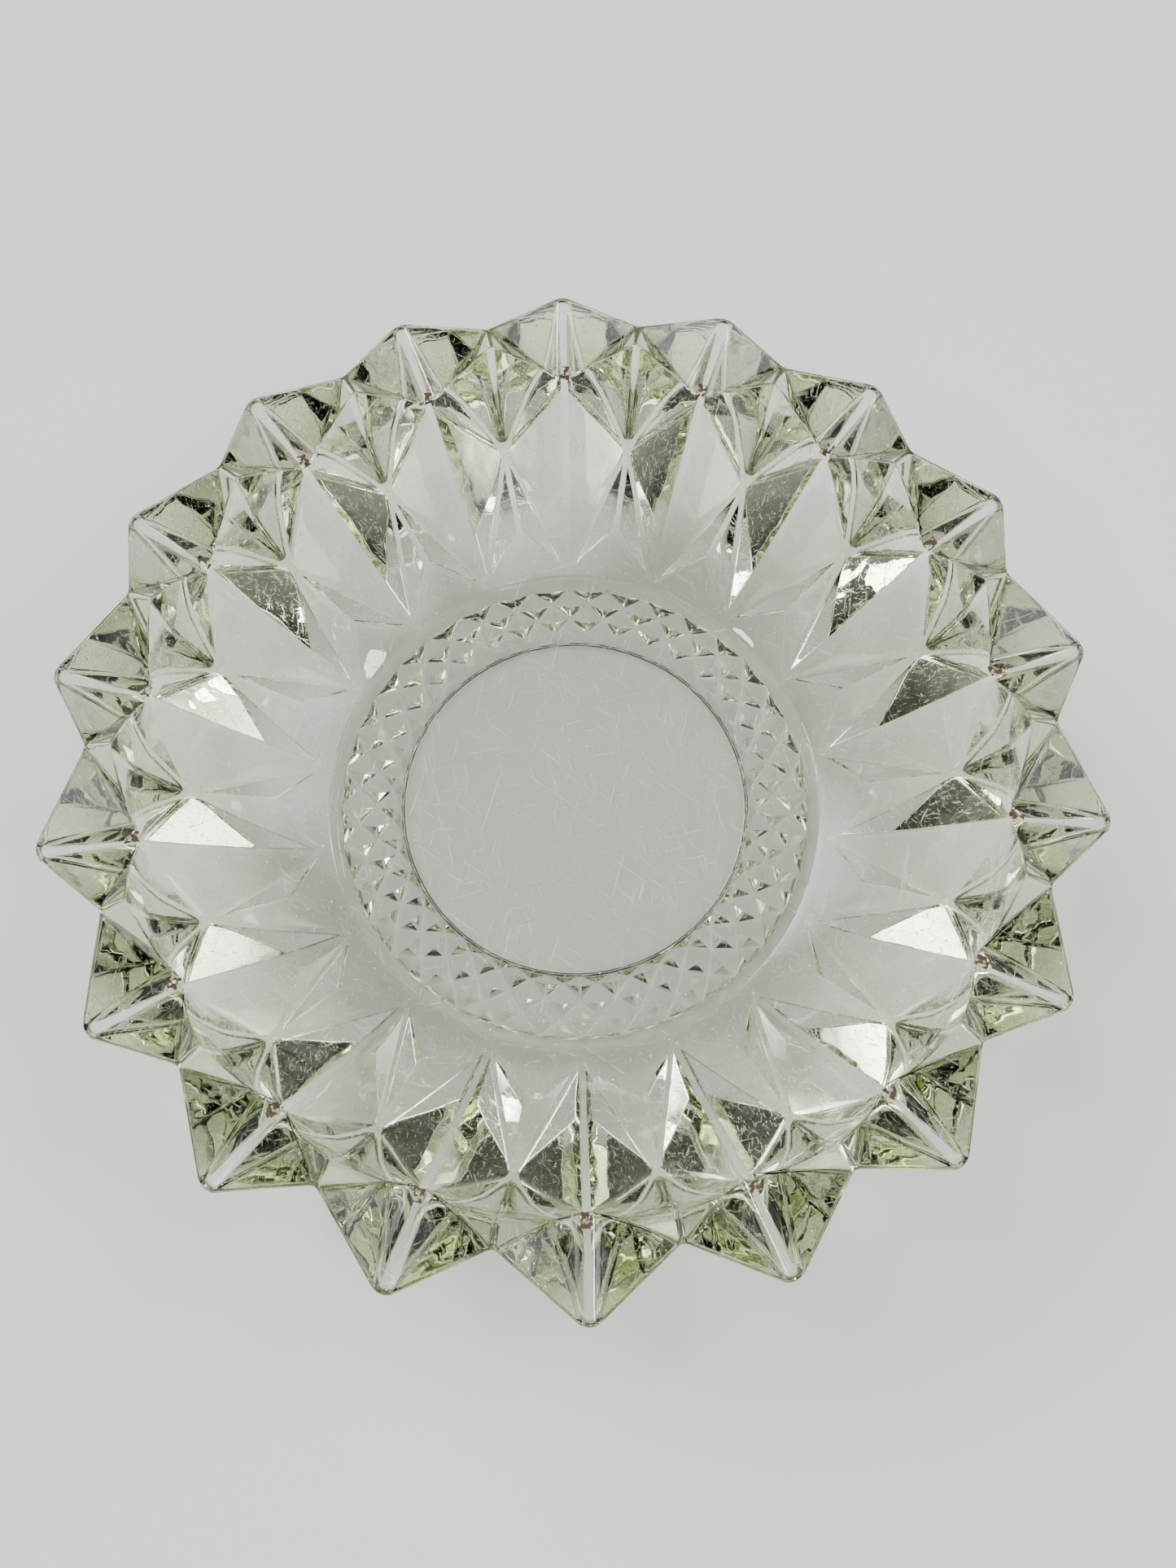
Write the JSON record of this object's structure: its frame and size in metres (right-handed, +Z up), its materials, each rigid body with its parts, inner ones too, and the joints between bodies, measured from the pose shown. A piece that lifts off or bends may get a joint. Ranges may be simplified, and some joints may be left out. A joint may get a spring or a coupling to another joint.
{
  "type": "pressed glass bowl",
  "caption": "Round clear glass bowl with a smooth inside, petal-cut facets outside and a sawtooth rim of pointed teeth.",
  "frame": {"origin": "middle of the bottom, on the plane of the standing ring", "axes": "+Z up along the bowl's axis, +Y through the point of one tooth, midway between two teeth at +X"},
  "size_m": [0.227, 0.23, 0.0572],
  "materials": {
    "glass": "clear pressed glass with a faint yellow-green tint, polished, lightly scratched"
  },
  "bodies": {
    "root": {"glass_bowl": "glass"}
  },
  "joints": []
}
